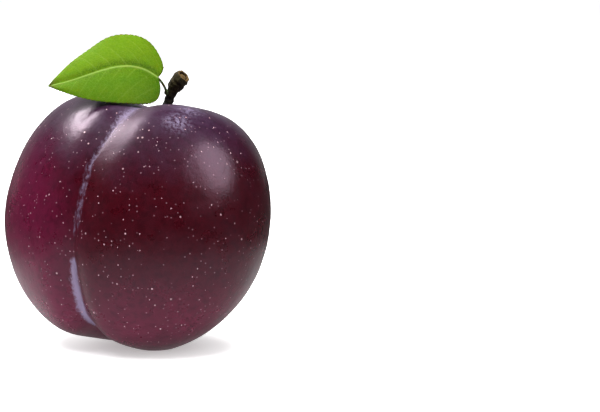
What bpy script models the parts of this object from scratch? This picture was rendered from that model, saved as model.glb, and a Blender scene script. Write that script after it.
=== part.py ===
"""A dark plum as picked, with its woody stem and one leaf. Metres, +Z up.

The origin is the middle of the small flat spot that the fruit rests on, and -Y is the side that
shows the suture. Three sub-parts hang on the empty "plum": the fruit, the stem and the leaf.
"""
import math

import bmesh
import bpy
from mathutils import Matrix, Vector
from mathutils.geometry import interpolate_bezier

# The fruit, in its own frame: stem end up, suture on the -Y side
HALF_WIDTH = 0.0320          # across the suture, cheek to cheek
HALF_DEPTH = 0.0264          # from the suture to the back
HALF_TOP = 0.0348            # from the widest ring to the stem end, before the shoulders sink
HALF_BOTTOM = 0.0307         # from the widest ring to the blossom end
TOP_FULLNESS = 0.01          # how much wider the stem half is than the blossom half
CHEEK_SKEW = 0.04            # one cheek sits fuller than the other
SHOULDER_SINK = 0.0089
SHOULDER_SPREAD = 0.0172
CAVITY_SINK = 0.0034         # the narrow pit that holds the stem
CAVITY_SPREAD = 0.0054
BLOSSOM_SINK = 0.0026
BLOSSOM_SPREAD = 0.0082
SUTURE_WIDTH = 0.0039
SUTURE_DEPTH = (0.0019, 0.0002, 0.0040)      # at the stem end, halfway down, at the blossom end
SUTURE_SWAY = (0.0041, -0.0034, -0.0018)     # sideways, at the same three places
SUTURE_FADE = 0.002                          # over which the groove stops at the fruit's sides

# How the fruit lies on the flat spot
TILT = math.radians(13.0)        # stem end towards +X
LEAN = math.radians(-8.6)        # stem end away from -Y
TURN = math.radians(-30.0)       # suture towards -X
FRUIT_CENTRE = Vector((-0.0021, 0.0016, 0.02885))
FRUIT_RINGS = 40
FRUIT_COLUMNS = 60
COLUMN_CROWDING = 0.6            # columns stand closer together near the suture
CUT_TOLERANCE = 1e-7

# The stem, from the foot in the cavity to the scar on its knob
STEM_FOOT_GAP = 0.0013
STEM_LOWER_HANDLE = Vector((0.0060, 0.0048, 0.0535))
STEM_UPPER_HANDLE = Vector((0.0051, 0.0068, 0.0576))
STEM_END = Vector((0.0089, 0.0042, 0.0610))
STEM_RADII = ((0.00, 0.00105), (0.10, 0.00102), (0.30, 0.00100), (0.55, 0.00102), (0.66, 0.00122),
              (0.78, 0.00166), (0.89, 0.00186), (0.97, 0.00176), (1.00, 0.00158))
STEM_RINGS = 26
STEM_SIDES = 20
SCAR_RADIUS = 0.00110
SCAR_DEPTH = 0.0006
SCAR_NARROWING = 0.9             # the scar's floor is this much narrower than its rim
PITH_DEPTH = 0.7                 # the pith stands up to this share of the scar's depth
STEM_FRONT = Vector((0.0, -1.0, 0.0))

# The leaf: its stalk starts beside the stem, its midrib runs to the tip on the -X side
STALK_START = Vector((0.0048, 0.0044, 0.0573))
STALK_HANDLE = Vector((0.0047, 0.0030, 0.0588))
RIB_START = Vector((0.0029, 0.0008, 0.0608))
RIB_HANDLE = Vector((-0.0046, -0.0006, 0.0669))
TIP_HANDLE = Vector((-0.0117, -0.0044, 0.0607))
LEAF_TIP = Vector((-0.0211, -0.0062, 0.0594))
STALK_BEND = 0.0010              # over which the stalk turns into the midrib
STALK_RADIUS = 0.00034
STALK_FRONT = Vector((0.0, -0.6, -0.8))      # where the first point of each ring of the stalk faces
TIP_RADIUS = 0.00014
MARGIN_HALF_THICKNESS = 0.00016
RIB_SPREAD = 0.0006              # how far the midrib's thickness fades into the blade
RIB_POINTS = 80
RIB_STEP = 0.0001                # the midrib's direction is measured this far to either side
TIP_POWER = 6                    # how late along the blade the drawn-out tip begins
LOBE_POWER = 3                   # how soon along the blade the base lobe ends
LEAF_RINGS = 34
STALK_RINGS = 7
HALF_COLUMNS = 6                 # columns of points on each half of the blade
# each half: half width, fuller towards the base, base lobe, roundness, drawn-out tip, lean, curl
UPPER_HALF = (0.0098, 0.11, 0.0101, 0.81, 0.0052, math.radians(38), math.radians(14))
LOWER_HALF = (0.0094, 0.50, 0.0057, 1.24, 0.0021, math.radians(46), math.radians(-16))

# Finishes: name, colour, roughness
SKIN = ("plum_skin", (0.105, 0.013, 0.038), 0.32)
BARK = ("stem_bark", (0.030, 0.022, 0.014), 0.80)
GREEN = ("leaf_green", (0.181, 0.376, 0.020), 0.45)
SHARP_ANGLE = math.radians(40)


def make_material(name, colour, roughness):
    material = bpy.data.materials.new(name)
    material.use_nodes = True
    shader = material.node_tree.nodes["Principled BSDF"]
    shader.inputs["Base Color"].default_value = (*colour, 1.0)
    shader.inputs["Roughness"].default_value = roughness
    material.diffuse_color = (*colour, 1.0)
    return material


def add_object(name, bm, material, parent, place=Matrix.Identity(4)):
    """Makes a smooth-shaded object from a bmesh whose faces all get turned outwards."""
    bmesh.ops.recalc_face_normals(bm, faces=bm.faces)
    mesh = bpy.data.meshes.new(name)
    bm.to_mesh(mesh)
    bm.free()
    mesh.shade_smooth()
    mesh.set_sharp_from_angle(angle=SHARP_ANGLE)
    mesh.materials.append(material)
    body = bpy.data.objects.new(name, mesh)
    body.parent = parent
    body.matrix_world = place
    bpy.context.scene.collection.objects.link(body)
    return body


def three_point_blend(values, along):
    """The smooth curve that starts at the first value and ends at the last, for along from 0 to 1."""
    first, middle, last = values
    back = 1.0 - along
    return first * back * back + 2.0 * middle * back * along + last * along * along


def dimple(distance, sink, spread):
    return sink * math.exp(-(distance / spread) ** 2)


def fruit_point(polar, azimuth):
    """A point of the skin, polar from the stem end and azimuth from the suture."""
    ring, height = math.sin(polar), math.cos(polar)
    fullness = 1.0 + TOP_FULLNESS * height + CHEEK_SKEW * math.sin(2.0 * azimuth) * ring
    x = HALF_WIDTH * ring * math.sin(azimuth) * fullness
    y = -HALF_DEPTH * ring * math.cos(azimuth) * fullness
    off_axis = math.hypot(x, y)
    if height > 0.0:
        z = HALF_TOP * height - dimple(off_axis, SHOULDER_SINK, SHOULDER_SPREAD)
        z -= dimple(off_axis, CAVITY_SINK, CAVITY_SPREAD)
    else:
        z = HALF_BOTTOM * height + dimple(off_axis, BLOSSOM_SINK, BLOSSOM_SPREAD)
    down = (1.0 - height) / 2.0
    off_suture = x - three_point_blend(SUTURE_SWAY, down) * ring
    front = 1.0 / (1.0 + math.exp(y / SUTURE_FADE))
    groove = dimple(off_suture, three_point_blend(SUTURE_DEPTH, down), SUTURE_WIDTH) * front
    outward = Vector((ring * math.sin(azimuth), -ring * math.cos(azimuth), height))
    return Vector((x, y, z)) - groove * outward


def fruit_place():
    turn = Matrix.Rotation(TURN, 4, "Z")
    lean = Matrix.Rotation(LEAN, 4, "X")
    tilt = Matrix.Rotation(TILT, 4, "Y")
    return Matrix.Translation(FRUIT_CENTRE) @ tilt @ lean @ turn


def join_rings(bm, rings):
    """Faces between each ring of points and the next, all with the same number of points."""
    for lower, upper in zip(rings, rings[1:]):
        for i, vert in enumerate(lower):
            j = (i + 1) % len(lower)
            bm.faces.new((vert, lower[j], upper[j], upper[i]))


def close_ring(bm, ring, point):
    """A fan from a ring of points to one point."""
    middle = bm.verts.new(point)
    for i, vert in enumerate(ring):
        bm.faces.new((vert, ring[(i + 1) % len(ring)], middle))


def make_fruit(parent):
    bm = bmesh.new()
    rings = []
    for i in range(1, FRUIT_RINGS):
        polar = math.pi * i / FRUIT_RINGS
        ring = []
        for j in range(FRUIT_COLUMNS):
            around = 2.0 * math.pi * j / FRUIT_COLUMNS
            azimuth = around - COLUMN_CROWDING * math.sin(around)
            ring.append(bm.verts.new(fruit_point(polar, azimuth)))
        rings.append(ring)
    join_rings(bm, rings)
    close_ring(bm, rings[0], fruit_point(0.0, 0.0))
    close_ring(bm, rings[-1], fruit_point(math.pi, 0.0))
    place = fruit_place()
    cut_flat_spot(bm, place)
    return add_object("fruit", bm, make_material(*SKIN), parent, place)


def cut_flat_spot(bm, place):
    """Takes off what would lie below z = 0, and closes the cut with one flat face."""
    to_fruit = place.inverted()
    ground = to_fruit @ Vector((0.0, 0.0, 0.0))
    down = to_fruit.to_3x3() @ Vector((0.0, 0.0, -1.0))
    everything = bm.verts[:] + bm.edges[:] + bm.faces[:]
    cut = bmesh.ops.bisect_plane(bm, geom=everything, dist=CUT_TOLERANCE, plane_co=ground,
                                 plane_no=down, clear_outer=True)
    edges = [item for item in cut["geom_cut"] if isinstance(item, bmesh.types.BMEdge)]
    bmesh.ops.contextual_create(bm, geom=edges)


def radius_at(stations, along):
    """The radius at a place along a stem, eased between the stations on either side."""
    for (start, first), (end, second) in zip(stations, stations[1:]):
        if along <= end:
            share = (along - start) / (end - start)
            ease = share * share * (3.0 - 2.0 * share)
            return first + (second - first) * ease
    return stations[-1][1]


def ring_frame(points, i, reference):
    """Two directions across a path at its point i, the first as near to the reference as it can be."""
    before, after = points[max(i - 1, 0)], points[min(i + 1, len(points) - 1)]
    tangent = (after - before).normalized()
    across = (reference - tangent * reference.dot(tangent)).normalized()
    return across, tangent.cross(across), tangent


def circle_ring(bm, centre, across, other, radius, sides):
    ring = []
    for i in range(sides):
        angle = 2.0 * math.pi * i / sides
        offset = across * math.cos(angle) + other * math.sin(angle)
        ring.append(bm.verts.new(centre + offset * radius))
    return ring


def stem_path():
    floor = fruit_place() @ fruit_point(0.0, 0.0)
    foot = floor + Vector((0.0, 0.0, STEM_FOOT_GAP))
    return interpolate_bezier(foot, STEM_LOWER_HANDLE, STEM_UPPER_HANDLE, STEM_END, STEM_RINGS)


def make_stem(parent):
    bm = bmesh.new()
    path = stem_path()
    rings = []
    for i, centre in enumerate(path):
        across, other, tangent = ring_frame(path, i, STEM_FRONT)
        radius = radius_at(STEM_RADII, i / (STEM_RINGS - 1))
        rings.append(circle_ring(bm, centre, across, other, radius, STEM_SIDES))
    # across, other and tangent are now those of the scar, which is sunk inside a woody rim
    for radius, depth in ((SCAR_RADIUS, 0.0), (SCAR_RADIUS * SCAR_NARROWING, SCAR_DEPTH)):
        centre = path[-1] - tangent * depth
        rings.append(circle_ring(bm, centre, across, other, radius, STEM_SIDES))
    join_rings(bm, rings)
    close_ring(bm, rings[0], path[0])
    close_ring(bm, rings[-1], path[-1] - tangent * SCAR_DEPTH * PITH_DEPTH)
    return add_object("stem", bm, make_material(*BARK), parent)


def rib_point(along, rib, lengths):
    """The point at a distance along the midrib, straight on before its start."""
    if along <= 0.0:
        return rib[0] + (rib[1] - rib[0]).normalized() * along
    for i in range(1, len(rib)):
        if along <= lengths[i]:
            share = (along - lengths[i - 1]) / (lengths[i] - lengths[i - 1])
            return rib[i - 1].lerp(rib[i], share)
    return rib[-1]


def half_outline(half, sweep, length):
    """Where the margin stands at a sweep from 0, at the base, to pi, at the tip."""
    width, fuller, lobe, roundness, drawn_out, _, _ = half
    share = sweep / math.pi
    along = (length - drawn_out) * (1.0 - math.cos(sweep)) / 2.0 + drawn_out * share ** TIP_POWER
    along -= lobe * math.sin(sweep) * (1.0 - share) ** LOBE_POWER
    across = width * math.sin(sweep) ** roundness * (1.0 + fuller * math.cos(sweep))
    return along, across


def blade_point(half, side, sweep, out, rib, lengths):
    """A point of the blade's middle surface, out from 0 at the midrib to 1 at the margin."""
    lean, curl = half[5], half[6]
    margin_along, margin_across = half_outline(half, sweep, lengths[-1])
    start = lengths[-1] * (1.0 - math.cos(sweep)) / 2.0
    along = start + (margin_along - start) * out
    turned = lean + curl * out / 2.0
    offset = Vector((0.0, math.sin(turned), math.cos(turned))) * (side * margin_across * out)
    return rib_point(along, rib, lengths) + offset


def blade_ring(bm, sweep, rib, lengths):
    """One closed ring across the blade: its upper face from margin to margin, then its lower face."""
    share = sweep / math.pi
    rib_radius = STALK_RADIUS + (TIP_RADIUS - STALK_RADIUS) * share
    points, reach = [], []
    for column in range(-HALF_COLUMNS, HALF_COLUMNS + 1):
        half, side = (UPPER_HALF, 1.0) if column >= 0 else (LOWER_HALF, -1.0)
        out = abs(column) / HALF_COLUMNS
        points.append(blade_point(half, side, sweep, out, rib, lengths))
        reach.append(half_outline(half, sweep, lengths[-1])[1] * out)
    along = (rib_point(lengths[-1] * share + RIB_STEP, rib, lengths)
             - rib_point(lengths[-1] * share - RIB_STEP, rib, lengths)).normalized()
    front, back = [], []
    for i, point in enumerate(points):
        across = (points[min(i + 1, len(points) - 1)] - points[max(i - 1, 0)]).normalized()
        normal = across.cross(along).normalized()
        thickness = MARGIN_HALF_THICKNESS + dimple(reach[i], rib_radius - TIP_RADIUS, RIB_SPREAD)
        front.append(bm.verts.new(point + normal * thickness))
        back.append(bm.verts.new(point - normal * thickness))
    return front + back[::-1]


def make_leaf(parent):
    bm = bmesh.new()
    rib = interpolate_bezier(RIB_START, RIB_HANDLE, TIP_HANDLE, LEAF_TIP, RIB_POINTS)
    lengths = [0.0]
    for first, second in zip(rib, rib[1:]):
        lengths.append(lengths[-1] + (second - first).length)
    toward_rib = RIB_START - (RIB_HANDLE - RIB_START).normalized() * STALK_BEND
    stalk = interpolate_bezier(STALK_START, STALK_HANDLE, toward_rib, RIB_START, STALK_RINGS)
    sides = 4 * HALF_COLUMNS + 2
    rings = []
    for i, centre in enumerate(stalk):
        across, other, _ = ring_frame(stalk, i, STALK_FRONT)
        rings.append(circle_ring(bm, centre, across, other, STALK_RADIUS, sides))
    for i in range(1, LEAF_RINGS):
        rings.append(blade_ring(bm, math.pi * i / LEAF_RINGS, rib, lengths))
    join_rings(bm, rings)
    close_ring(bm, rings[0], stalk[0])
    close_ring(bm, rings[-1], rib[-1])
    return add_object("leaf", bm, make_material(*GREEN), parent)


def main():
    for thing in list(bpy.data.objects):
        bpy.data.objects.remove(thing, do_unlink=True)
    plum = bpy.data.objects.new("plum", None)
    bpy.context.scene.collection.objects.link(plum)
    make_fruit(plum)
    make_stem(plum)
    make_leaf(plum)


main()
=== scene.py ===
"""A dark plum with its stem and leaf, finished around the frame of its solid model."""
import math

import bpy
import numpy as np
from mathutils import Matrix, Vector, noise
from mathutils.geometry import interpolate_bezier


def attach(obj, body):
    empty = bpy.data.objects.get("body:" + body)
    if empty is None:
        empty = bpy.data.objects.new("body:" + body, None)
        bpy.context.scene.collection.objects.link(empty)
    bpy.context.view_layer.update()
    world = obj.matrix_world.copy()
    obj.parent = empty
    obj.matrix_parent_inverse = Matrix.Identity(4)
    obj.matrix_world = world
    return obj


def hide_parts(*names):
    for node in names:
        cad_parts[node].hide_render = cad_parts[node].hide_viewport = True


bl_info = {
    "name": "Plum with stem and leaf",
    "version": (1, 0, 0),
    "blender": (4, 5, 0),
    "location": "3D View > Sidebar > Plum",
    "description": "Models and finishes a whole plum, its woody stem and one leaf",
    "category": "Add Mesh",
}

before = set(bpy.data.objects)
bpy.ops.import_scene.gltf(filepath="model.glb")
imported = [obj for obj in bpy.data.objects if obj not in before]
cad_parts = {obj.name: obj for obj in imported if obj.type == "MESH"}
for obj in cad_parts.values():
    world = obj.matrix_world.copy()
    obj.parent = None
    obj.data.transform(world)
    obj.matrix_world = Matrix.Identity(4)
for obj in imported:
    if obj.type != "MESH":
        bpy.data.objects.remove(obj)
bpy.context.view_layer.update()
BODY = "root"
MM = 0.001

# How the fruit lies: its own frame has the stem end up and the suture on the -Y side
FRUIT_CENTRE = Vector((-0.0021, 0.0016, 0.02885))
FRUIT_TILT = math.radians(13.0)
FRUIT_LEAN = math.radians(-8.6)
FRUIT_TURN = math.radians(-30.0)
FRUIT_HALF_HEIGHT = 0.0328
SUTURE_SWAY = (0.0041, -0.0034, -0.0018)
FRUIT_PLACE = (Matrix.Translation(FRUIT_CENTRE) @ Matrix.Rotation(FRUIT_TILT, 4, "Y")
               @ Matrix.Rotation(FRUIT_LEAN, 4, "X") @ Matrix.Rotation(FRUIT_TURN, 4, "Z"))

# The skin is shrunk onto the fruit from a ball of this radius, and has swells and a furrow of these depths
BALL_RADIUS = 45.0 * MM
CREASE_DEPTH = 0.16 * MM
LIP_HEIGHT = 0.05 * MM
PUCKER_HEIGHT = 0.07 * MM
PUCKERS = 14.0
SWELL_HEIGHT = 0.16 * MM
RIPPLE_HEIGHT = 0.045 * MM

# A dot is a low dome, and some have a wider dark skirt
DOT_SEED = 11
DOT_HEIGHT = 0.030 * MM
DOT_SINK = 0.006 * MM
SKIRT_SHARE = 0.45
SKIRT_SPREAD = 2.1

# Thicker bloom left beside the cavity, in the fruit's own frame, with its radius
PATCHES = ((Vector((0.0135, -0.0165, 0.0215)), 0.0026), (Vector((0.0128, -0.0110, 0.0255)), 0.0030))

# The stem's middle line, from its foot in the cavity to the scar on its knob
STEM_LINE = (Vector((0.0025, 0.0049, 0.0498)), Vector((0.0060, 0.0048, 0.0535)),
             Vector((0.0051, 0.0068, 0.0576)), Vector((0.0089, 0.0042, 0.0610)))

STEM_RINGS, STEM_SIDES = 150, 72
# how thick the stem is along its line, as a share of its radius, up to where the knob begins
STEM_STATIONS = ((0.00, 1.25), (0.08, 1.08), (0.30, 1.0), (0.55, 1.02), (0.66, 1.20))
# how thick the knob is further along, as a share of its widest radius
KNOB_STATIONS = ((0.78, 0.90), (0.90, 1.0), (0.97, 0.97), (1.00, 0.84))
# its end is turned in over the woody rim, down into a sunken ring that is coloured as painted shade, and up
# onto the pith: share of radius, mm
TURNED_IN = ((0.74, 0.04), (0.62, 0.02), (0.55, -0.35), (0.45, -0.42), (0.36, -0.22), (0.20, -0.16))
RINGS_PER_TURN = 4

# The leaf's stalk and midrib
STALK_RINGS, STALK_SIDES = 40, 20
STALK_LINE = (Vector((0.0050, 0.0047, 0.0571)), Vector((0.0047, 0.0030, 0.0588)),
              Vector((0.0034, 0.0009, 0.0604)), Vector((0.0029, 0.0008, 0.0608)))
RIB_LINE = (Vector((0.0029, 0.0008, 0.0608)), Vector((-0.0046, -0.0006, 0.0669)),
            Vector((-0.0117, -0.0044, 0.0607)), Vector((-0.0211, -0.0062, 0.0594)))
RIB_POINTS = 200
BLADE_CUTS_ALONG, BLADE_CUTS_ACROSS = 200, 110
# each half: half width, fuller towards the base, base lobe, roundness, drawn-out tip, lean, curl
UPPER_HALF = (0.0098, 0.11, 0.0101, 0.81, 0.0052, math.radians(38), math.radians(14))
LOWER_HALF = (0.0094, 0.50, 0.0057, 1.24, 0.0021, math.radians(46), math.radians(-16))


# Each lamp: where it stands off to, how far off, how wide, and its colour
KEY_LAMP = ((-0.49, 0.33, 0.80), 0.60, 0.22, (1.0, 0.98, 0.99))
SIDE_LAMP = ((0.68, -0.35, 0.65), 0.70, 0.50, (0.96, 0.97, 1.0))
FILL_LAMP = ((-0.12, -0.08, 0.99), 0.90, 1.20, (1.0, 1.0, 1.0))


# ---------------------------------------------------------------- settings

def colour_setting(name, description, default):
    return bpy.props.FloatVectorProperty(name=name, description=description, default=default,
                                         subtype="COLOR", size=3, min=0.0, max=1.0)


def length_setting(name, description, default):
    return bpy.props.FloatProperty(name=name, description=description, default=default,
                                   unit="LENGTH", subtype="DISTANCE", min=0.0, precision=5)


def share_setting(name, description, default):
    return bpy.props.FloatProperty(name=name, description=description, default=default,
                                   subtype="FACTOR", min=0.0, max=1.0)


class PlumSkinSettings(bpy.types.PropertyGroup):
    """The fruit's skin, its waxy bloom and its dots"""
    deep: colour_setting("Deep", "Ripest skin, at the middle of the cheek", (0.046, 0.0015, 0.0048))
    crimson: colour_setting("Crimson", "Brighter skin on the shaded cheek", (0.110, 0.0045, 0.0290))
    plum: colour_setting("Plum", "Bluish skin towards the shoulders", (0.027, 0.0078, 0.0290))
    # painted light: pinker, lighter skin low down stands in for the floor's light bounced and reflected onto
    # the underside
    base: colour_setting("Base", "Pinker skin low down, towards the blossom end", (0.120, 0.0160, 0.0430))
    bloom: colour_setting("Bloom", "Waxy bloom in the suture", (0.190, 0.150, 0.245))
    haze: share_setting("Haze", "How much thin bloom lies all over the skin", 0.018)
    dot: colour_setting("Dot", "Pale corky dots", (0.62, 0.36, 0.44))
    dot_stain: colour_setting("Dot stain", "Reddish stain on some dots", (0.25, 0.10, 0.12))
    skirt: colour_setting("Skirt", "Dark skirt round some dots", (0.022, 0.002, 0.005))
    dot_radius: length_setting("Dot radius", "Radius of an average dot", 0.13 * MM)
    dot_count: bpy.props.IntProperty(name="Dots", description="Number of dots", default=520, min=0)
    cuts: bpy.props.IntProperty(name="Cuts", description="Fineness of the skin", default=111, min=8)


class PlumStemSettings(bpy.types.PropertyGroup):
    """The woody stem"""
    radius: length_setting("Radius", "Radius of the stem below its knob", 1.00 * MM)
    knob_radius: length_setting("Knob radius", "Widest radius of the knob", 1.86 * MM)
    bark: colour_setting("Bark", "Dark bark of the shaft", (0.0115, 0.0082, 0.0046))
    knob: colour_setting("Knob", "Greyer bark of the knob", (0.040, 0.033, 0.0135))
    wood: colour_setting("Wood", "Bare wood of the scar", (0.165, 0.098, 0.030))
    old_wood: colour_setting("Old wood", "Darker grain in the scar", (0.095, 0.055, 0.018))
    crust: colour_setting("Crust", "Weathered patches of the bark", (0.048, 0.038, 0.018))
    # painted shade: near-black colour for the low points of the bark's bump relief
    furrow: colour_setting("Furrow", "Bottom of the bark's furrows", (0.003, 0.0024, 0.0018))
    # painted shade for the sunken ring inside the scar's rim
    gap: colour_setting("Gap", "Dark gap inside the scar's rim", (0.020, 0.010, 0.004))
    relief: length_setting("Relief", "Depth of the bark's furrows", 0.13 * MM)


class PlumLeafSettings(bpy.types.PropertyGroup):
    """The leaf"""
    green: colour_setting("Green", "The blade's upper half", (0.122, 0.240, 0.0030))
    # painted shade: a darker copy of the green for the blade's lower half, which faces less of the light
    lower_half_painted_shade: colour_setting("Shade", "The blade's lower half", (0.078, 0.184, 0.0022))
    rib: colour_setting("Midrib", "The midrib and the veins", (0.270, 0.400, 0.070))
    yellow: colour_setting("Yellow", "Broad yellower patches", (0.140, 0.245, 0.004))
    deep: colour_setting("Deep", "Fine deeper green grain", (0.045, 0.125, 0.003))
    # painted shade: darker green for the hollows either side of the midrib
    dark: colour_setting("Dark", "Hollows on either side of the midrib", (0.028, 0.085, 0.0020))
    stalk: colour_setting("Stalk", "The leaf stalk", (0.180, 0.235, 0.090))
    tip: colour_setting("Tip", "Browned tip and margin", (0.10, 0.115, 0.020))
    thickness: length_setting("Thickness", "Thickness of the blade", 0.26 * MM)
    stalk_radius: length_setting("Stalk radius", "Radius of the leaf stalk", 0.30 * MM)
    tooth_depth: length_setting("Tooth depth", "Depth of the teeth along the margin", 0.22 * MM)
    teeth: bpy.props.IntProperty(name="Teeth", description="Teeth along each side", default=34, min=0)
    side_veins: bpy.props.IntProperty(name="Side veins", description="Side veins in each half",
                                      default=7, min=0)


class PlumStageSettings(bpy.types.PropertyGroup):
    """Floor, lights and camera"""
    distance: length_setting("Distance", "From the camera to the fruit's middle", 0.450)
    elevation: bpy.props.FloatProperty(name="Elevation", description="How far the camera looks down",
                                       default=math.radians(7.0), subtype="ANGLE")
    lens: bpy.props.FloatProperty(name="Lens", description="Focal length in millimetres", default=118.8)
    aim_right: length_setting("Aim right", "How far right of the fruit the camera aims", 0.0372)
    aim_up: length_setting("Aim up", "How far above the fruit's middle the camera aims", 0.0025)
    floor: colour_setting("Floor", "Plain pale floor", (0.92, 0.92, 0.92))
    floor_size: length_setting("Floor size", "Side of the square floor", 40.0)
    bounce: share_setting("Bounce", "How much light the far floor gives back", 0.13)
    bounce_near: share_setting("Near bounce", "How much light the floor close by gives back", 0.92)
    # the floor's glow at the fruit's foot, rising further out: it sets a painted contact shadow
    floor_glow: bpy.props.FloatProperty(name="Floor glow", description="How much the floor is whitened",
                                        default=0.40, min=0.0)
    key_power: bpy.props.FloatProperty(name="Key", description="Power of the key light in watts",
                                       default=4.2, min=0.0)
    side_power: bpy.props.FloatProperty(name="Side", description="Power of the side light in watts",
                                        default=4.2, min=0.0)
    mirrored: share_setting("Mirrored", "How bright the floor is in the object's gloss", 0.34)
    fill_power: bpy.props.FloatProperty(name="Fill", description="Power of the fill light in watts",
                                        default=26.0, min=0.0)
    under: bpy.props.FloatProperty(name="Under", description="Light given back close round the object",
                                   default=0.62, min=0.0)
    sky: bpy.props.FloatProperty(name="Sky", description="Strength of the light from all round",
                                 default=0.34, min=0.0)


# ---------------------------------------------------------------- mesh helpers

def choose_only(piece):
    bpy.ops.object.select_all(action="DESELECT")
    piece.select_set(True)
    bpy.context.view_layer.objects.active = piece


def read_points(piece):
    flat = np.zeros(len(piece.data.vertices) * 3, np.float32)
    piece.data.vertices.foreach_get("co", flat)
    return flat.reshape(-1, 3).astype(float)


def write_points(piece, points):
    piece.data.vertices.foreach_set("co", np.asarray(points, np.float32).ravel())
    piece.data.update()


def read_normals(piece):
    flat = np.zeros(len(piece.data.vertices) * 3, np.float32)
    piece.data.vertices.foreach_get("normal", flat)
    return flat.reshape(-1, 3).astype(float)


def write_attribute(piece, name, values):
    layer = piece.data.attributes.new(name, "FLOAT", "POINT")
    layer.data.foreach_set("value", np.asarray(values, np.float32).ravel())


def apply_modifier(piece, kind, **settings):
    choose_only(piece)
    modifier = piece.modifiers.new(kind.lower(), kind)
    for key, value in settings.items():
        setattr(modifier, key, value)
    bpy.ops.object.modifier_apply(modifier=modifier.name)


def finish_piece(piece, name, material):
    piece.name = name
    piece.data.name = name
    piece.data.materials.clear()
    piece.data.materials.append(material)
    piece.data.shade_smooth()
    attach(piece, BODY)


def bell(distance, width):
    return np.exp(-(distance / width) ** 2)


def smooth_step(low, high, value):
    share = np.clip((value - low) / (high - low), 0.0, 1.0)
    return share * share * (3.0 - 2.0 * share)


def three_point_blend(values, along):
    first, middle, last = values
    back = 1.0 - along
    return first * back * back + 2.0 * middle * back * along + last * along * along


def noise_at(points, scale, offset=0.0):
    """Smooth noise between about -1 and 1 at each point, with features of the size 1 / scale."""
    shift = Vector((offset, offset * 0.7, offset * 1.3))
    return np.array([noise.noise(Vector(point) * scale + shift) for point in points])


# ---------------------------------------------------------------- material helpers

class Shader:
    """A material's node tree, with a short call for each kind of node that the finishes use."""

    def __init__(self, name):
        self.material = bpy.data.materials.new(name)
        self.material.use_nodes = True
        self.nodes = self.material.node_tree.nodes
        self.links = self.material.node_tree.links
        self.surface = self.nodes["Principled BSDF"]
        coordinates = self.nodes.new("ShaderNodeTexCoord")
        self.place = coordinates.outputs["Object"]

    def put(self, socket, value):
        if isinstance(value, bpy.types.NodeSocket):
            self.links.new(value, socket)
        elif hasattr(value, "__len__") and len(value) == 3 and socket.type == "RGBA":
            socket.default_value = (*value, 1.0)
        else:
            socket.default_value = value

    def set(self, **inputs):
        for key, value in inputs.items():
            self.put(self.surface.inputs[key.replace("_", " ")], value)

    def attribute(self, name):
        node = self.nodes.new("ShaderNodeAttribute")
        node.attribute_name = name
        return node.outputs["Fac"]

    def math(self, operation, first, second=0.0, third=0.0):
        node = self.nodes.new("ShaderNodeMath")
        node.operation = operation
        for socket, value in zip(node.inputs, (first, second, third)):
            self.put(socket, value)
        return node.outputs[0]

    def mix(self, share, first, second, blend="MIX"):
        node = self.nodes.new("ShaderNodeMix")
        node.data_type = "RGBA"
        node.blend_type = blend
        self.put(node.inputs[0], share)
        self.put(node.inputs[6], first)
        self.put(node.inputs[7], second)
        return node.outputs[2]

    def spread(self, value, low, high, to_low=0.0, to_high=1.0):
        """value eased from low..high to to_low..to_high."""
        node = self.nodes.new("ShaderNodeMapRange")
        node.interpolation_type = "SMOOTHSTEP"
        for socket, number in zip(node.inputs, (value, low, high, to_low, to_high)):
            self.put(socket, number)
        return node.outputs[0]

    def stretch(self, scale):
        node = self.nodes.new("ShaderNodeMapping")
        self.put(node.inputs["Vector"], self.place)
        node.inputs["Scale"].default_value = scale
        return node.outputs[0]

    def noise(self, scale, detail=2.0, roughness=0.5, vector=None):
        node = self.nodes.new("ShaderNodeTexNoise")
        self.put(node.inputs["Vector"], vector or self.place)
        node.inputs["Scale"].default_value = scale
        node.inputs["Detail"].default_value = detail
        node.inputs["Roughness"].default_value = roughness
        return node.outputs[0]

    def cells(self, scale, feature="F1"):
        node = self.nodes.new("ShaderNodeTexVoronoi")
        node.feature = feature
        self.put(node.inputs["Vector"], self.place)
        node.inputs["Scale"].default_value = scale
        return node

    def part_of(self, vector, axis):
        node = self.nodes.new("ShaderNodeSeparateXYZ")
        self.put(node.inputs[0], vector)
        return node.outputs[axis]

    def bump(self, height, distance, strength=1.0, onto=None):
        node = self.nodes.new("ShaderNodeBump")
        self.put(node.inputs["Height"], height)
        node.inputs["Strength"].default_value = strength
        node.inputs["Distance"].default_value = distance
        if onto is not None:
            self.put(node.inputs["Normal"], onto)
        return node.outputs[0]


# ---------------------------------------------------------------- the skin

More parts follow.
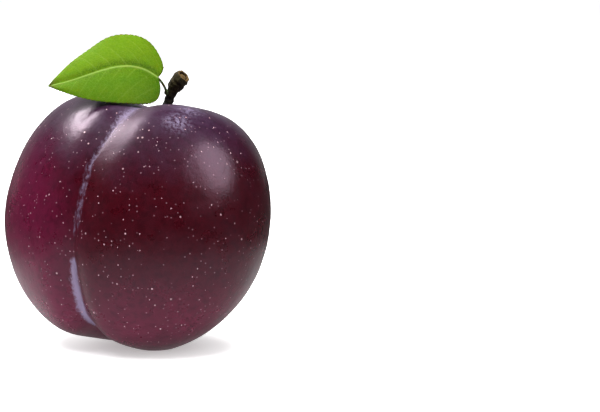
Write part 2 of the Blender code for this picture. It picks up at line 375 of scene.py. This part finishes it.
def skin_material(settings):
    shader = Shader("plum_skin")
    x = shader.part_of(shader.place, "X")
    z = shader.part_of(shader.place, "Z")
    broad = shader.noise(45.0, 2.0)
    cloudy = shader.noise(160.0, 4.0, 0.6)
    mottled = shader.noise(700.0, 3.0, 0.6)

    # crimson on the -X cheek, bluish towards the shoulders, deepest at the middle
    cheek = shader.math("ADD", x, shader.math("MULTIPLY", shader.math("SUBTRACT", broad, 0.5), 0.012))
    colour = shader.mix(shader.spread(cheek, -0.010, -0.029), tuple(settings.deep), tuple(settings.crimson))
    height = shader.math("ADD", z, shader.math("MULTIPLY", shader.math("SUBTRACT", cloudy, 0.5), 0.012))
    colour = shader.mix(shader.spread(height, 0.036, 0.056, 0.0, 0.85), colour, tuple(settings.plum))
    # pinker and lighter low down: painted light from the floor onto the underside
    colour = shader.mix(shader.spread(height, 0.024, 0.003, 0.0, 0.6), colour, tuple(settings.base))
    patchy = shader.spread(mottled, 0.30, 0.72, 0.72, 1.25)
    colour = shader.mix(1.0, colour, shader.mix(patchy, (0.0, 0.0, 0.0), (1.0, 1.0, 1.0)), "MULTIPLY")

    # fine pale specks between the larger dots
    specks = shader.cells(1100.0)
    chosen = shader.math("GREATER_THAN", shader.part_of(specks.outputs["Color"], "X"), 0.72)
    near = shader.spread(specks.outputs["Distance"], 0.26, 0.08)
    colour = shader.mix(shader.math("MULTIPLY", shader.math("MULTIPLY", chosen, near), 0.30),
                        colour, tuple(settings.dot))

    # bloom: a film in the suture and round the stem, and a thin haze all over
    streaks = shader.noise(1.0, 4.0, 0.65, shader.stretch((420.0, 420.0, 90.0)))
    grains = shader.noise(1.0, 4.0, 0.70, shader.stretch((1500.0, 1500.0, 600.0)))
    near_suture = shader.spread(shader.attribute("suture_bloom"), 0.02, 0.30, 0.0, 2.0)
    suture = shader.math("ADD", shader.attribute("suture_bloom"),
                         shader.math("MULTIPLY", shader.math("SUBTRACT", grains, 0.5), near_suture))
    suture = shader.spread(suture, 0.12, 0.95)
    crown = shader.math("MULTIPLY", shader.attribute("crown_bloom"), shader.spread(streaks, 0.32, 0.68))
    patch = shader.math("MULTIPLY", shader.attribute("patch_bloom"), shader.spread(grains, 0.40, 0.62))
    crown = shader.math("MAXIMUM", crown, patch)
    haze = shader.math("MULTIPLY", shader.spread(cloudy, 0.25, 0.75), settings.haze)
    film = shader.math("MAXIMUM", shader.math("MAXIMUM", suture, crown), haze)
    colour = shader.mix(film, colour, tuple(settings.bloom))

    roughness = shader.math("ADD", shader.math("MULTIPLY", film, 0.22),
                            shader.spread(cloudy, 0.2, 0.8, 0.25, 0.33))
    roughness = shader.math("ADD", roughness, shader.math("MULTIPLY", shader.attribute("dull"), 0.22))
    pores = shader.bump(shader.noise(2600.0, 3.0, 0.6), 0.00003, 0.6)
    dents = shader.bump(shader.noise(420.0, 3.0, 0.6), 0.00016, 0.40, pores)
    shader.set(Base_Color=colour, Roughness=roughness, Normal=dents)
    shader.set(IOR=1.42, Specular_Tint=(0.97, 0.70, 0.90), Coat_Weight=0.03, Coat_Roughness=0.25)
    return shader.material


def smooth_target(node):
    """A merged and subdivided copy of a CAD node, to lay a finer surface on."""
    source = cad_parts[node]
    target = bpy.data.objects.new("target", source.data.copy())
    bpy.context.scene.collection.objects.link(target)
    choose_only(target)
    bpy.ops.object.mode_set(mode="EDIT")
    bpy.ops.mesh.select_all(action="SELECT")
    bpy.ops.mesh.remove_doubles(threshold=1e-6)
    bpy.ops.mesh.tris_convert_to_quads(face_threshold=math.radians(60), shape_threshold=math.radians(60))
    bpy.ops.object.mode_set(mode="OBJECT")
    apply_modifier(target, "SUBSURF", levels=2, render_levels=2)
    return target


def fruit_frame(points):
    """The points as the fruit's own frame has them."""
    back = np.array(FRUIT_PLACE.inverted())
    return points @ back[:3, :3].T + back[:3, 3]


def measure_fruit(points):
    """For each point: down from stem end to blossom end, off the suture, front, off the axis."""
    own = fruit_frame(points)
    height = np.clip(own[:, 2] / FRUIT_HALF_HEIGHT, -1.0, 1.0)
    down = (1.0 - height) / 2.0
    off_suture = own[:, 0] - three_point_blend(SUTURE_SWAY, down) * np.sqrt(1.0 - height ** 2)
    off_suture += 0.6 * MM * bell(down - 0.36, 0.06)
    off_suture -= 0.7 * MM * smooth_step(0.44, 0.54, down) * smooth_step(0.88, 0.80, down)
    front = 1.0 / (1.0 + np.exp(own[:, 1] / 0.0015))
    off_axis = np.hypot(own[:, 0], own[:, 1])
    return own, down, off_suture, front, off_axis


class PLUM_OT_skin(bpy.types.Operator):
    """Lays a fine, even skin on the fruit and gives it its suture, puckers and bloom"""
    bl_idname = "plum.skin"
    bl_label = "Skin"

    def execute(self, context):
        settings = context.scene.plum_skin
        target = smooth_target("fruit")
        bpy.ops.object.select_all(action="DESELECT")
        bpy.ops.mesh.primitive_cube_add(size=2.0, location=FRUIT_CENTRE)
        skin = context.object
        bpy.ops.object.mode_set(mode="EDIT")
        bpy.ops.mesh.subdivide(number_cuts=settings.cuts)
        bpy.ops.object.mode_set(mode="OBJECT")
        ball = np.tan(read_points(skin) * math.pi / 4.0)
        ball /= np.linalg.norm(ball, axis=1)[:, None]
        write_points(skin, ball * BALL_RADIUS)
        apply_modifier(skin, "SHRINKWRAP", target=target, wrap_method="PROJECT",
                       use_negative_direction=True, use_positive_direction=False)
        apply_modifier(skin, "SMOOTH", factor=0.5, iterations=3)
        choose_only(skin)
        bpy.ops.object.transform_apply(location=True, rotation=True, scale=True)
        bpy.data.objects.remove(target, do_unlink=True)

        points = read_points(skin)
        own, down, off_suture, front, off_axis = measure_fruit(points)
        around = np.arctan2(own[:, 0], -own[:, 1])
        top = smooth_step(0.35, 0.15, down)
        # a fine furrow along the suture between low lips, puckers round the stem, and uneven swells
        crease = -CREASE_DEPTH * bell(off_suture, 0.55 * MM) * front * smooth_step(0.02, 0.20, down)
        lips = LIP_HEIGHT * bell(np.abs(off_suture) - 1.7 * MM, 0.9 * MM) * front
        puckers = PUCKER_HEIGHT * np.cos(PUCKERS * around + 3.0 * np.sin(3.0 * around)) * top
        puckers *= bell(off_axis - 4.0 * MM, 3.0 * MM)
        swells = SWELL_HEIGHT * noise_at(points, 90.0) + RIPPLE_HEIGHT * noise_at(points, 260.0, 7.0)
        points += read_normals(skin) * (crease + lips + puckers + swells)[:, None]
        points[:, 2] = np.maximum(points[:, 2], 0.0)
        write_points(skin, points)

        # the suture's bloom is wide near the stem, narrow in the middle and a thicker band low down
        wide = bell(off_suture, 2.4 * MM) * smooth_step(0.30, 0.10, down) * 0.50
        narrow = bell(off_suture, 0.95 * MM) * smooth_step(0.05, 0.20, down) * smooth_step(0.645, 0.56, down)
        band = MM * (0.70 + 0.60 * smooth_step(0.66, 0.78, down) - 0.85 * smooth_step(0.81, 0.92, down))
        lower = bell(off_suture, band) * smooth_step(0.665, 0.695, down) * smooth_step(1.0, 0.93, down)
        write_attribute(skin, "suture_bloom", (wide + narrow * 0.44 + lower * 1.15) * front)
        crown = bell(off_axis, 15.0 * MM) * smooth_step(0.45, 0.15, down)
        write_attribute(skin, "crown_bloom", crown * 0.55)
        patches = [bell(np.linalg.norm(own - np.array(place), axis=1), size) for place, size in PATCHES]
        write_attribute(skin, "patch_bloom", np.clip(sum(patches), 0.0, 1.0))
        beside_suture = bell(off_suture - 3.0 * MM, 3.5 * MM) * front
        write_attribute(skin, "dull", beside_suture * smooth_step(0.45, 0.28, down))
        finish_piece(skin, "skin", skin_material(settings))
        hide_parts("fruit")
        return {"FINISHED"}


# ---------------------------------------------------------------- the dots

def dot_material(settings):
    shader = Shader("plum_dots")
    tone = shader.attribute("tone")
    colour = shader.mix(shader.spread(tone, 0.25, 0.75), tuple(settings.skirt), tuple(settings.dot))
    stained = shader.spread(shader.noise(900.0), 0.35, 0.65, 0.0, 0.35)
    colour = shader.mix(stained, colour, tuple(settings.dot_stain))
    grain = shader.bump(shader.noise(9000.0, 2.0), 0.00001, 0.6)
    shader.set(Base_Color=colour, Roughness=shader.spread(tone, 0.2, 0.8, 0.35, 0.60), Normal=grain)
    return shader.material


class PLUM_OT_dots(bpy.types.Operator):
    """Strews small corky dots over the skin"""
    bl_idname = "plum.dots"
    bl_label = "Dots"

    def execute(self, context):
        settings = context.scene.plum_skin
        skin = bpy.data.objects["skin"]
        points, normals = read_points(skin), read_normals(skin)
        _, down, off_suture, front, _ = measure_fruit(points)
        crowding = 0.35 + 0.65 * smooth_step(-0.2, 0.5, noise_at(points, 70.0, 3.0))
        crowding *= smooth_step(0.02, 0.18, down) * (points[:, 2] > 1.0 * MM)
        crowding *= 1.0 - 0.8 * bell(off_suture, 1.6 * MM) * front
        picker = np.random.default_rng(DOT_SEED)
        chosen = picker.choice(len(points), settings.dot_count, replace=False, p=crowding / crowding.sum())

        # one flat dot, with two rings inside its rim
        bpy.ops.object.select_all(action="DESELECT")
        bpy.ops.mesh.primitive_circle_add(vertices=8, radius=1.0, fill_type="TRIFAN")
        dots = context.object
        bpy.ops.object.mode_set(mode="EDIT")
        bpy.ops.mesh.select_all(action="SELECT")
        bpy.ops.mesh.inset(thickness=0.30, depth=0.0)
        bpy.ops.mesh.inset(thickness=0.25, depth=0.0)
        bpy.ops.object.mode_set(mode="OBJECT")
        flat = read_points(dots)
        faces = [tuple(face.vertices) for face in dots.data.polygons]
        reach = np.hypot(flat[:, 0], flat[:, 1])
        dome = np.clip(1.0 - reach ** 2, 0.0, 1.0)

        all_points, all_faces, tones = [], [], []
        for vertex in chosen:
            normal = Vector(normals[vertex])
            turn = normal.to_track_quat("Z", "X").to_matrix()
            size = settings.dot_radius * picker.uniform(0.55, 1.45)
            skirt = picker.uniform() < SKIRT_SHARE
            scale = size * (SKIRT_SPREAD if skirt else 1.0)
            shape = np.column_stack((flat[:, 0] * scale, flat[:, 1] * scale * picker.uniform(0.75, 1.0),
                                     dome * DOT_HEIGHT - DOT_SINK))
            all_faces += [tuple(i + len(flat) * len(all_points) for i in face) for face in faces]
            all_points.append(shape @ np.array(turn).T + points[vertex])
            tones.append(np.where(reach < 0.6, 1.0, 0.0) if skirt else np.full(len(flat), 0.85))
        mesh = bpy.data.meshes.new("dots")
        mesh.from_pydata(np.vstack(all_points).tolist(), [], all_faces)
        dots.data = mesh
        dots.location = (0.0, 0.0, 0.0)
        write_attribute(dots, "tone", np.concatenate(tones))
        finish_piece(dots, "dots", dot_material(settings))
        return {"FINISHED"}


# ---------------------------------------------------------------- tubes: stem, stalk

def path_frames(path, reference):
    """At each point of a path: the point, two directions across the path, and the one along it."""
    frames = []
    for i, point in enumerate(path):
        tangent = (path[min(i + 1, len(path) - 1)] - path[max(i - 1, 0)]).normalized()
        across = (reference - tangent * reference.dot(tangent)).normalized()
        directions = (point, across, tangent.cross(across), tangent)
        frames.append(tuple(np.array(direction) for direction in directions))
    return frames


def ball_for_tube(rings, sides):
    """A ball with a ring of points for each ring of a tube, and each point's ring and angle."""
    bpy.ops.object.select_all(action="DESELECT")
    bpy.ops.mesh.primitive_uv_sphere_add(segments=sides, ring_count=rings + 1, radius=1.0)
    ball = bpy.context.object
    points = read_points(ball)
    polar = np.arccos(np.clip(points[:, 2], -1.0, 1.0))
    ring = np.rint((1.0 - polar / math.pi) * (rings + 1)).astype(int)
    return ball, ring, np.arctan2(points[:, 1], points[:, 0])


def stem_material(settings):
    shader = Shader("plum_stem")
    zone = shader.attribute("zone")
    knob = shader.attribute("knob")
    fine = shader.noise(2200.0, 4.0, 0.65)
    patch = shader.noise(900.0, 3.0, 0.6)
    colour = shader.mix(knob, tuple(settings.bark), tuple(settings.knob))
    colour = shader.mix(shader.spread(patch, 0.45, 0.68, 0.0, 0.75), colour, tuple(settings.crust))
    # painted shade: the bark turns near-black where the bump relief is lowest
    colour = shader.mix(shader.spread(fine, 0.46, 0.34, 0.0, 0.9), colour, tuple(settings.furrow))
    # pale wood-coloured flecks, most on the knob: partly pale bark, partly painted glints
    flecks_and_glints = shader.spread(shader.noise(3400.0, 3.0, 0.7), 0.58, 0.68)
    colour = shader.mix(shader.math("MULTIPLY", flecks_and_glints, shader.math("MULTIPLY_ADD", knob, 0.5, 0.2)),
                        colour, tuple(settings.wood))
    wood = shader.mix(shader.spread(fine, 0.35, 0.65), tuple(settings.wood),
                      tuple(settings.old_wood))
    colour = shader.mix(shader.spread(zone, 0.30, 0.55), colour, wood)
    # painted shade: the sunken ring inside the scar's rim is coloured almost black
    colour = shader.mix(shader.attribute("gap"), colour, tuple(settings.gap))
    crust = shader.bump(fine, 0.00016, 0.9)
    shader.set(Base_Color=colour, Roughness=shader.spread(fine, 0.3, 0.7, 0.60, 0.88), Normal=crust)
    shader.set(Specular_IOR_Level=0.2)
    return shader.material


class PLUM_OT_stem(bpy.types.Operator):
    """Models the woody stem, with furrowed bark, a knob and the scar at its end"""
    bl_idname = "plum.stem"
    bl_label = "Stem"

    def execute(self, context):
        settings = context.scene.plum_stem
        rings = STEM_RINGS
        frames = path_frames(interpolate_bezier(*STEM_LINE, rings), Vector((0.0, -1.0, 0.0)))
        stops = [stop for stop, _ in STEM_STATIONS + KNOB_STATIONS]
        radii = [share * settings.radius for _, share in STEM_STATIONS]
        radii += [share * settings.knob_radius for _, share in KNOB_STATIONS]
        rim = KNOB_STATIONS[-1][1]
        inward_radii = [share * settings.knob_radius for share in (rim, *(turn[0] for turn in TURNED_IN))]
        inward_sinks = [sink * MM for sink in (0.0, *(turn[1] for turn in TURNED_IN))]
        turns = np.arange(len(inward_radii))
        outer_rings = rings - RINGS_PER_TURN * len(TURNED_IN)

        ball, ring, angle = ball_for_tube(rings, STEM_SIDES)
        points = np.zeros((len(ring), 3))
        zone, gap, knob = (np.zeros(len(ring)) for _ in range(3))
        along = np.clip((ring - 1) / (outer_rings - 1), 0.0, 1.0)
        for i in range(len(ring)):
            inward = max(ring[i] - outer_rings, 0) / RINGS_PER_TURN
            place, across, other, tangent = frames[round(along[i] * (rings - 1))]
            radius = np.interp(along[i], stops, radii)
            sink = 0.0
            if inward > 0.0:
                radius = np.interp(inward, turns, inward_radii)
                sink = np.interp(inward, turns, inward_sinks)
                zone[i] = 1.0
                # mask for the sunken ring's painted shade
                gap[i] = smooth_step(2.3, 2.9, inward) * smooth_step(4.8, 4.2, inward)
            if ring[i] in (0, rings + 1):
                radius = 0.0
            spoke = across * math.cos(angle[i]) + other * math.sin(angle[i])
            seed = Vector((math.cos(angle[i]) * 2.2, math.sin(angle[i]) * 2.2, along[i] * 4.0))
            furrow = abs(noise.noise(seed * 1.6)) * 2.0 - 0.6
            lump = noise.noise(Vector((seed.x * 0.6, seed.y * 0.6, seed.z * 3.2)) + Vector((5.0, 1.0, 2.0)))
            rough = settings.relief * (furrow + lump * (0.6 + 1.6 * along[i]))
            bands = 0.05 * MM * math.sin(along[i] * 70.0) * smooth_step(0.60, 0.72, along[i])
            if inward > 0.0:
                rough *= 0.45
                around = Vector((math.cos(angle[i]) * 1.7, math.sin(angle[i]) * 1.7, 9.0))
                sink += 0.16 * MM * noise.noise(around)
            points[i] = place + spoke * max(radius + rough + bands * (inward == 0.0), 0.0) + tangent * sink
            if radius == 0.0:
                points[i] = place + tangent * sink
            knob[i] = smooth_step(0.52, 0.75, along[i])
        write_points(ball, points)
        write_attribute(ball, "zone", zone)
        write_attribute(ball, "gap", gap)
        write_attribute(ball, "knob", knob)
        finish_piece(ball, "stem_bark", stem_material(settings))
        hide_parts("stem")
        return {"FINISHED"}


# ---------------------------------------------------------------- the leaf

def leaf_material(settings):
    shader = Shader("plum_leaf")
    side = shader.attribute("side")
    vein = shader.attribute("vein")
    rib = shader.attribute("rib")
    along = shader.attribute("along")
    margin = shader.attribute("margin")
    broad = shader.noise(120.0, 3.0)
    fine = shader.noise(1500.0, 3.0, 0.6)
    net = shader.cells(1500.0, feature="DISTANCE_TO_EDGE").outputs["Distance"]
    # the upper half keeps the green and the lower half takes a darker copy of it: painted shade
    colour = shader.mix(shader.spread(side, -0.10, 0.10), tuple(settings.lower_half_painted_shade), tuple(settings.green))
    colour = shader.mix(shader.spread(broad, 0.3, 0.7, 0.0, 0.45), colour, tuple(settings.yellow))
    colour = shader.mix(shader.spread(fine, 0.35, 0.65, 0.0, 0.25), colour, tuple(settings.deep))
    colour = shader.mix(shader.spread(net, 0.05, 0.0, 0.0, 0.22), colour, tuple(settings.rib))
    # painted shade in the hollows beside the midrib, broken up by crinkle noise
    crinkle = shader.spread(shader.noise(3200.0, 4.0, 0.7), 0.40, 0.60)
    hollow_shade = shader.math("MULTIPLY", shader.attribute("hollow_shade"), crinkle)
    colour = shader.mix(shader.math("MULTIPLY", hollow_shade, 0.60), colour, tuple(settings.dark))
    veined = shader.math("MULTIPLY", vein, shader.spread(broad, 0.35, 0.60, 0.04, 0.26))
    colour = shader.mix(veined, colour, tuple(settings.rib))
    edge = shader.spread(margin, 0.955, 1.0, 0.0, 0.75)
    colour = shader.mix(edge, colour, tuple(settings.tip))
    colour = shader.mix(shader.spread(along, 0.90, 1.0, 0.0, 0.85), colour, tuple(settings.tip))
    colour = shader.mix(rib, colour, tuple(settings.rib))
    on_stalk = shader.math("MULTIPLY", shader.attribute("stalk"), 0.9)
    colour = shader.mix(on_stalk, colour, tuple(settings.stalk))
    veins = shader.bump(shader.spread(net, 0.0, 0.12), 0.00004, 0.5)
    grain = shader.bump(fine, 0.00003, 0.4, veins)
    shader.set(Base_Color=colour, Roughness=shader.spread(fine, 0.3, 0.7, 0.42, 0.58), Normal=grain)
    shader.set(Subsurface_Weight=0.25, Subsurface_Scale=0.0006, Specular_IOR_Level=0.04)
    return shader.material


def rib_points(along, rib, lengths):
    """Points at distances along the midrib, straight on before its start."""
    points = np.column_stack([np.interp(along, lengths, rib[:, k]) for k in range(3)])
    first = (rib[1] - rib[0]) / np.linalg.norm(rib[1] - rib[0])
    return points + np.minimum(along, 0.0)[:, None] * first


def leaf_surface(sweep, out, settings):
    """The blade for sweep 0..pi from base to tip and out -1..1 from lower to upper margin."""
    rib = np.array(interpolate_bezier(*RIB_LINE, RIB_POINTS))
    lengths = np.concatenate(([0.0], np.cumsum(np.linalg.norm(np.diff(rib, axis=0), axis=1))))
    length = lengths[-1]
    upper = out >= 0.0
    half = [np.where(upper, a, b) for a, b in zip(UPPER_HALF, LOWER_HALF)]
    width, fuller, lobe, roundness, drawn_out, lean, curl = half
    share = sweep / math.pi
    reach = np.abs(out)
    margin_along = (length - drawn_out) * (1.0 - np.cos(sweep)) / 2.0 + drawn_out * share ** 6
    margin_along -= lobe * np.sin(sweep) * (1.0 - share) ** 3
    margin_across = width * np.sin(sweep) ** roundness * (1.0 + fuller * np.cos(sweep))
    tooth = (share * settings.teeth) % 1.0
    margin_across -= settings.tooth_depth * (1.0 - tooth) ** 1.5 * reach ** 6 * smooth_step(0.0, 0.08, share)
    start = length * (1.0 - np.cos(sweep)) / 2.0
    along = start + (margin_along - start) * reach
    across = margin_across * reach
    turned = lean + curl * reach / 2.0
    side = np.where(upper, 1.0, -1.0)
    points = rib_points(along, rib, lengths)
    points[:, 1] += np.sin(turned) * side * across
    points[:, 2] += np.cos(turned) * side * across
    return points, along, across * side, length


def leaf_relief(along, across, reach, length, settings):
    """How far the blade stands out of its plain surface, and masks of its midrib and side veins."""
    off_rib = np.abs(across)
    taper = 1.0 - 0.75 * np.clip(along / length, 0.0, 1.0)
    rib = bell(off_rib, 0.20 * MM * (0.35 + taper))
    relief = 0.16 * MM * rib - 0.20 * MM * bell(off_rib, 1.0 * MM)
    # each side vein leaves the midrib at a slant and bends towards the tip
    slanted = along - off_rib * 0.62 - off_rib ** 2 * 28.0
    pitch = length / (settings.side_veins + 0.5)
    phase = (slanted / pitch + np.where(across > 0.0, 0.35, 0.0)) % 1.0 - 0.5
    off_vein = np.abs(phase) * pitch
    fade = smooth_step(0.98, 0.80, reach)
    vein = bell(off_vein, 0.13 * MM) * fade
    relief += (0.02 * MM * vein - 0.035 * MM * bell(off_vein, 0.55 * MM)) * fade
    relief += 0.35 * MM * reach * (1.0 - reach) * 2.0
    return relief, rib, vein


class PLUM_OT_leaf(bpy.types.Operator):
    """Models the leaf's blade, with its midrib, side veins and toothed margin, and its stalk"""
    bl_idname = "plum.leaf"
    bl_label = "Leaf"

    def execute(self, context):
        settings = context.scene.plum_leaf
        bpy.ops.object.select_all(action="DESELECT")
        bpy.ops.mesh.primitive_grid_add(x_subdivisions=BLADE_CUTS_ALONG,
                                        y_subdivisions=BLADE_CUTS_ACROSS, size=2.0)
        blade = context.object
        grid = read_points(blade)
        sweep = (0.012 + 0.982 * (grid[:, 0] + 1.0) / 2.0) * math.pi
        out = grid[:, 1]
        points, along, across, length = leaf_surface(sweep, out, settings)
        relief, rib, vein = leaf_relief(along, across, np.abs(out), length, settings)
        write_points(blade, points)
        normals = read_normals(blade)
        if normals[:, 1].mean() > 0.0:
            blade.data.flip_normals()
            normals = -normals
        # only the upper half's margin is wavy
        waves = 0.16 * MM * np.sin(along / length * 17.0) * np.abs(out) ** 3 * (across > 0.0)
        write_points(blade, points + normals * (relief + waves)[:, None])
        write_attribute(blade, "rib", rib)
        write_attribute(blade, "vein", vein)
        write_attribute(blade, "along", np.clip(along / length, 0.0, 1.0))
        write_attribute(blade, "margin", np.abs(out))
        # mask for the painted shade in the hollows beside the midrib
        hollow_shade = bell(np.abs(across) - 0.9 * MM, 1.1 * MM) * smooth_step(0.95, 0.6, along / length)
        write_attribute(blade, "hollow_shade", hollow_shade)
        write_attribute(blade, "side", out)
        apply_modifier(blade, "SOLIDIFY", thickness=settings.thickness, offset=0.0, use_even_offset=False)
        material = leaf_material(settings)
        finish_piece(blade, "leaf_blade", material)
        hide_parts("leaf")
        self.add_stalk(settings, material)
        return {"FINISHED"}

    def add_stalk(self, settings, material):
        """The stalk, a little swollen where it meets the stem and flattened where it meets the blade."""
        rings = STALK_RINGS
        frames = path_frames(interpolate_bezier(*STALK_LINE, rings), Vector((0.0, -0.6, -0.8)))
        stalk, ring, angle = ball_for_tube(rings, STALK_SIDES)
        points = np.zeros((len(ring), 3))
        for i in range(len(ring)):
            along = min(max(ring[i] - 1, 0), rings - 1)
            place, across, other, _ = frames[along]
            share = along / (rings - 1)
            radius = settings.stalk_radius * (1.0 + 0.9 * bell(share, 0.10) - 0.10 * share)
            if ring[i] in (0, rings + 1):
                radius = 0.0
            groove = 1.0 - 0.22 * bell(angle[i] - math.pi / 2.0, 0.6)
            points[i] = place + (across * math.cos(angle[i]) + other * math.sin(angle[i])) * radius * groove
        write_points(stalk, points)
        write_attribute(stalk, "stalk", np.ones(len(ring)))
        write_attribute(stalk, "side", np.full(len(ring), 1.0))
        finish_piece(stalk, "leaf_stalk", material)


# ---------------------------------------------------------------- the stage

def floor_material(settings):
    """A matt floor: whitened to the camera away from the fruit, with a painted contact shadow where the
    whitening fades near the fruit's foot, and darker in the fruit's gloss.
    """
    shader = Shader("floor")
    grain = shader.noise(30.0, 2.0)
    path = shader.nodes.new("ShaderNodeLightPath")
    seen = path.outputs["Is Camera Ray"]
    mirrored = shader.math("MULTIPLY_ADD", path.outputs["Is Glossy Ray"], settings.mirrored - 1.0, 1.0)
    away = shader.nodes.new("ShaderNodeVectorMath")
    away.operation = "LENGTH"
    shader.links.new(shader.place, away.inputs[0])
    away = away.outputs["Value"]
    # painted contact shadow: the glow seen by the camera is low at the fruit's foot and full a few
    # centimetres out
    glow_round_painted_shadow = shader.spread(away, 0.004, 0.027, settings.floor_glow, 0.97)
    near, far = (settings.bounce_near,) * 3, (settings.bounce,) * 3
    colour = shader.mix(shader.spread(away, 0.06, 0.16), near, far)
    colour = shader.mix(1.0, colour, shader.mix(mirrored, (0.0,) * 3, (1.0,) * 3), "MULTIPLY")
    colour = shader.mix(seen, colour, tuple(settings.floor))
    shader.set(Base_Color=colour, Roughness=shader.spread(grain, 0.2, 0.8, 0.70, 0.80))
    shader.set(Emission_Color=(1.0, 1.0, 1.0), Specular_IOR_Level=0.1)
    under = shader.spread(away, 0.12, 0.04, 0.0, settings.under)
    glow = shader.math("MULTIPLY", seen, glow_round_painted_shadow)
    unseen = shader.math("MULTIPLY", shader.math("SUBTRACT", mirrored, seen), under)
    shader.set(Emission_Strength=shader.math("ADD", glow, unseen))
    return shader.material


def area_light(name, power, toward, distance, size, colour):
    """A round lamp that stands off from the fruit in the direction toward, and shines on it."""
    lamp = bpy.data.lights.new(name, "AREA")
    lamp.shape = "DISK"
    lamp.size = size
    lamp.energy = power
    lamp.color = colour
    holder = bpy.data.objects.new(name, lamp)
    bpy.context.scene.collection.objects.link(holder)
    direction = Vector(toward).normalized()
    holder.location = FRUIT_CENTRE + direction * distance
    holder.rotation_euler = direction.to_track_quat("Z", "Y").to_euler()
    return holder


def make_world(strength):
    """White to look at; its light comes mostly from behind, and little of it from the front."""
    world = bpy.data.worlds.new("studio")
    world.use_nodes = True
    bpy.context.scene.world = world
    nodes, links = world.node_tree.nodes, world.node_tree.links
    background = nodes["Background"]
    path = nodes.new("ShaderNodeLightPath")
    direction = nodes.new("ShaderNodeTexCoord")
    split = nodes.new("ShaderNodeSeparateXYZ")
    links.new(direction.outputs["Generated"], split.inputs[0])
    fade = nodes.new("ShaderNodeMapRange")
    fade.interpolation_type = "SMOOTHSTEP"
    for socket, value in zip(fade.inputs[1:5], (0.55, 0.95, 0.03, 1.0)):
        socket.default_value = value
    links.new(split.outputs["Y"], fade.inputs[0])
    dim = nodes.new("ShaderNodeMath")
    dim.operation = "MULTIPLY"
    dim.inputs[1].default_value = strength
    links.new(fade.outputs[0], dim.inputs[0])
    choose = nodes.new("ShaderNodeMix")
    choose.inputs[3].default_value = 1.0
    links.new(path.outputs["Is Camera Ray"], choose.inputs[0])
    links.new(dim.outputs[0], choose.inputs[2])
    links.new(choose.outputs[0], background.inputs["Strength"])
    background.inputs["Color"].default_value = (0.95, 0.98, 1.0, 1.0)


class PLUM_OT_stage(bpy.types.Operator):
    """Sets up the plain pale floor, the soft lights and the camera"""
    bl_idname = "plum.stage"
    bl_label = "Stage"

    def execute(self, context):
        settings = context.scene.plum_stage
        context.scene.view_settings.view_transform = "Standard"
        bpy.ops.object.select_all(action="DESELECT")
        bpy.ops.mesh.primitive_plane_add(size=settings.floor_size)
        floor = context.object
        floor.name = "floor"
        floor.data.materials.append(floor_material(settings))
        make_world(settings.sky)
        # the key and the side lamp give only gloss, and the fill lamp lights only matt colour
        key = area_light("key", settings.key_power, *KEY_LAMP)
        key.visible_diffuse = False
        side = area_light("side", settings.side_power, *SIDE_LAMP)
        side.visible_diffuse = False
        fill = area_light("fill", settings.fill_power, *FILL_LAMP)
        fill.visible_glossy = False
        self.add_camera(context, settings)
        return {"FINISHED"}

    def add_camera(self, context, settings):
        lens = bpy.data.cameras.new("camera")
        lens.lens = settings.lens
        lens.clip_start = 0.01
        camera = bpy.data.objects.new("camera", lens)
        context.scene.collection.objects.link(camera)
        down = settings.elevation
        sight = Vector((0.0, math.cos(down), -math.sin(down)))
        up = Vector((0.0, math.sin(down), math.cos(down)))
        camera.location = FRUIT_CENTRE - sight * settings.distance
        aim = FRUIT_CENTRE + Vector((settings.aim_right, 0.0, 0.0)) + up * settings.aim_up
        camera.rotation_euler = (aim - camera.location).to_track_quat("-Z", "Y").to_euler()
        context.scene.camera = camera


# ---------------------------------------------------------------- the add-on

class PLUM_PT_panel(bpy.types.Panel):
    """Lists the plum's pieces and its stage"""
    bl_label = "Plum"
    bl_idname = "PLUM_PT_panel"
    bl_space_type = "VIEW_3D"
    bl_region_type = "UI"
    bl_category = "Plum"

    def draw(self, context):
        for step in STEPS:
            self.layout.operator(step.bl_idname)


STEPS = (PLUM_OT_skin, PLUM_OT_dots, PLUM_OT_stem, PLUM_OT_leaf, PLUM_OT_stage)
SETTINGS = {"plum_skin": PlumSkinSettings, "plum_stem": PlumStemSettings,
            "plum_leaf": PlumLeafSettings, "plum_stage": PlumStageSettings}


def register():
    for group in SETTINGS.values():
        bpy.utils.register_class(group)
    for name, group in SETTINGS.items():
        setattr(bpy.types.Scene, name, bpy.props.PointerProperty(type=group))
    for step in STEPS:
        bpy.utils.register_class(step)
    bpy.utils.register_class(PLUM_PT_panel)


def unregister():
    bpy.utils.unregister_class(PLUM_PT_panel)
    for step in reversed(STEPS):
        bpy.utils.unregister_class(step)
    for name in SETTINGS:
        delattr(bpy.types.Scene, name)
    for group in reversed(SETTINGS.values()):
        bpy.utils.unregister_class(group)


def main():
    register()
    bpy.ops.plum.skin()
    bpy.ops.plum.dots()
    bpy.ops.plum.stem()
    bpy.ops.plum.leaf()
    bpy.ops.plum.stage()


if __name__ == "__main__":
    main()
